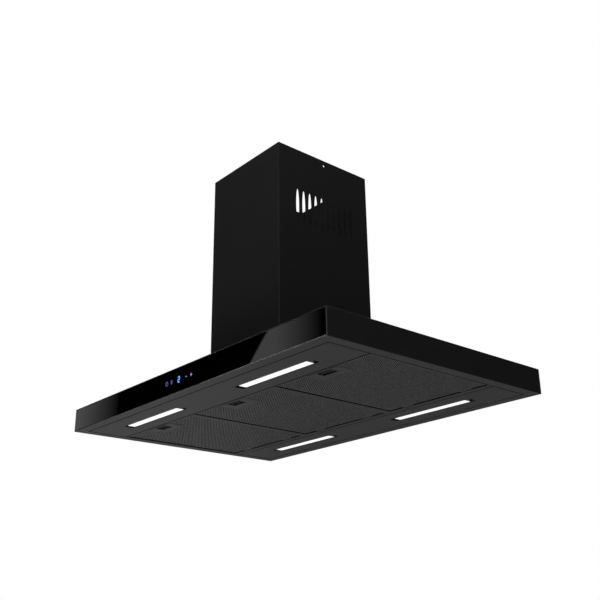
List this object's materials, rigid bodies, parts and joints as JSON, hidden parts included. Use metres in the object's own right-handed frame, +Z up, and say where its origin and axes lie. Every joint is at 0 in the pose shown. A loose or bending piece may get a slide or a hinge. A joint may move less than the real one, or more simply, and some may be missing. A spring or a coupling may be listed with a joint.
{
  "type": "island range hood",
  "caption": "Flat rectangular island cooker hood with a square telescopic chimney, black glass control front, hinged perforated grease filters, slim lamps and an enclosed blower.",
  "frame": {"origin": "centre of the flat underside of the canopy, at the level of its border", "axes": "+X to the right as seen from the glass control front, +Y from that front to the back, +Z up the chimney to the ceiling"},
  "size_m": [0.9, 0.6, 0.59],
  "materials": {
    "canopy_paint": "satin black powder coat with a fine grain",
    "chimney_paint": "matt black powder coat",
    "control_glass": "gloss black toughened glass, printed black on its back",
    "filter_aluminium": "satin, finely perforated, anodised dark grey",
    "galvanised_steel": "zinc coated, dull with a faint spangle",
    "bright_steel": "turned steel",
    "black_plastic": "moulded, fine texture",
    "grey_plastic": "moulded, satin",
    "lamp_diffuser": "opal white, lit from behind",
    "circuit_board": "green solder mask",
    "capacitor_can": "drawn aluminium can"
  },
  "bodies": {
    "ceiling_section": {"ceiling_plate": "galvanised_steel", "inner_chimney": "chimney_paint", "upper_post_front_left": "galvanised_steel", "upper_post_front_right": "galvanised_steel", "upper_post_rear_left": "galvanised_steel", "upper_post_rear_right": "galvanised_steel"},
    "hood": {"canopy_shell": "canopy_paint", "front_light_panel": "canopy_paint", "rear_light_panel": "canopy_paint", "filter_frame": "canopy_paint", "outer_chimney": "chimney_paint", "front_glass": "control_glass", "motor_box": "galvanised_steel", "motor_bracket": "galvanised_steel", "lower_post_front_left": "galvanised_steel", "lower_post_front_right": "galvanised_steel", "lower_post_rear_left": "galvanised_steel", "lower_post_rear_right": "galvanised_steel", "motor": "bright_steel", "damper_pin": "bright_steel", "control_box": "black_plastic", "outlet_collar": "black_plastic", "cable_gland": "black_plastic", "lamp_housing_front_left": "black_plastic", "lamp_housing_front_right": "black_plastic", "lamp_housing_rear_left": "black_plastic", "lamp_housing_rear_right": "black_plastic", "blower_housing_left": "grey_plastic", "blower_housing_right": "grey_plastic", "electronics_box": "grey_plastic", "led_driver": "grey_plastic", "lamp_lens_front_left": "lamp_diffuser", "lamp_lens_front_right": "lamp_diffuser", "lamp_lens_rear_left": "lamp_diffuser", "lamp_lens_rear_right": "lamp_diffuser", "touch_board": "circuit_board", "led_strip_front_left": "circuit_board", "led_strip_front_right": "circuit_board", "led_strip_rear_left": "circuit_board", "led_strip_rear_right": "circuit_board", "run_capacitor": "capacitor_can"},
    "filter_left": {"filter_tray_left": "filter_aluminium", "filter_mesh_left": "filter_aluminium", "latch_cup_left": "black_plastic", "latch_spring_left": "bright_steel"},
    "latch_left": {"latch_slider_left": "grey_plastic"},
    "filter_middle": {"filter_tray_middle": "filter_aluminium", "filter_mesh_middle": "filter_aluminium", "latch_cup_middle": "black_plastic", "latch_spring_middle": "bright_steel"},
    "latch_middle": {"latch_slider_middle": "grey_plastic"},
    "filter_right": {"filter_tray_right": "filter_aluminium", "filter_mesh_right": "filter_aluminium", "latch_cup_right": "black_plastic", "latch_spring_right": "bright_steel"},
    "latch_right": {"latch_slider_right": "grey_plastic"},
    "blower_rotor": {"impeller": "grey_plastic", "motor_shaft": "bright_steel"},
    "damper_front": {"damper_flap_front": "black_plastic"},
    "damper_rear": {"damper_flap_rear": "black_plastic"}
  },
  "joints": [
    {"name": "chimney_height", "type": "slide", "parent": "ceiling_section", "child": "hood", "axis": [0, 0, -1], "range_m": [0, 0.32]},
    {"name": "filter_left_hinge", "type": "hinge", "parent": "hood", "child": "filter_left", "pos_m": [-0.28687, 0.1569, 0.0024], "axis": [1, 0, 0], "range_deg": [0, 80]},
    {"name": "filter_middle_hinge", "type": "hinge", "parent": "hood", "child": "filter_middle", "pos_m": [0, 0.1569, 0.0024], "axis": [1, 0, 0], "range_deg": [0, 80]},
    {"name": "filter_right_hinge", "type": "hinge", "parent": "hood", "child": "filter_right", "pos_m": [0.28687, 0.1569, 0.0024], "axis": [1, 0, 0], "range_deg": [0, 80]},
    {"name": "latch_left_slide", "type": "slide", "parent": "filter_left", "child": "latch_left", "axis": [0, 1, 0], "range_m": [0, 0.006], "stiffness_N_per_m": 400, "springref_m": -0.004, "deforming": ["latch_spring_left"]},
    {"name": "latch_middle_slide", "type": "slide", "parent": "filter_middle", "child": "latch_middle", "axis": [0, 1, 0], "range_m": [0, 0.006], "stiffness_N_per_m": 400, "springref_m": -0.004, "deforming": ["latch_spring_middle"]},
    {"name": "latch_right_slide", "type": "slide", "parent": "filter_right", "child": "latch_right", "axis": [0, 1, 0], "range_m": [0, 0.006], "stiffness_N_per_m": 400, "springref_m": -0.004, "deforming": ["latch_spring_right"]},
    {"name": "impeller_spin", "type": "hinge", "parent": "hood", "child": "blower_rotor", "pos_m": [0, 0.006, 0.165], "axis": [1, 0, 0], "continuous": true},
    {"name": "damper_front_hinge", "type": "hinge", "parent": "hood", "child": "damper_front", "pos_m": [0, 0, 0.3503], "axis": [-1, 0, 0], "range_deg": [0, 80]},
    {"name": "damper_rear_hinge", "type": "hinge", "parent": "hood", "child": "damper_rear", "pos_m": [0, 0, 0.3503], "axis": [1, 0, 0], "range_deg": [0, 80]}
  ]
}
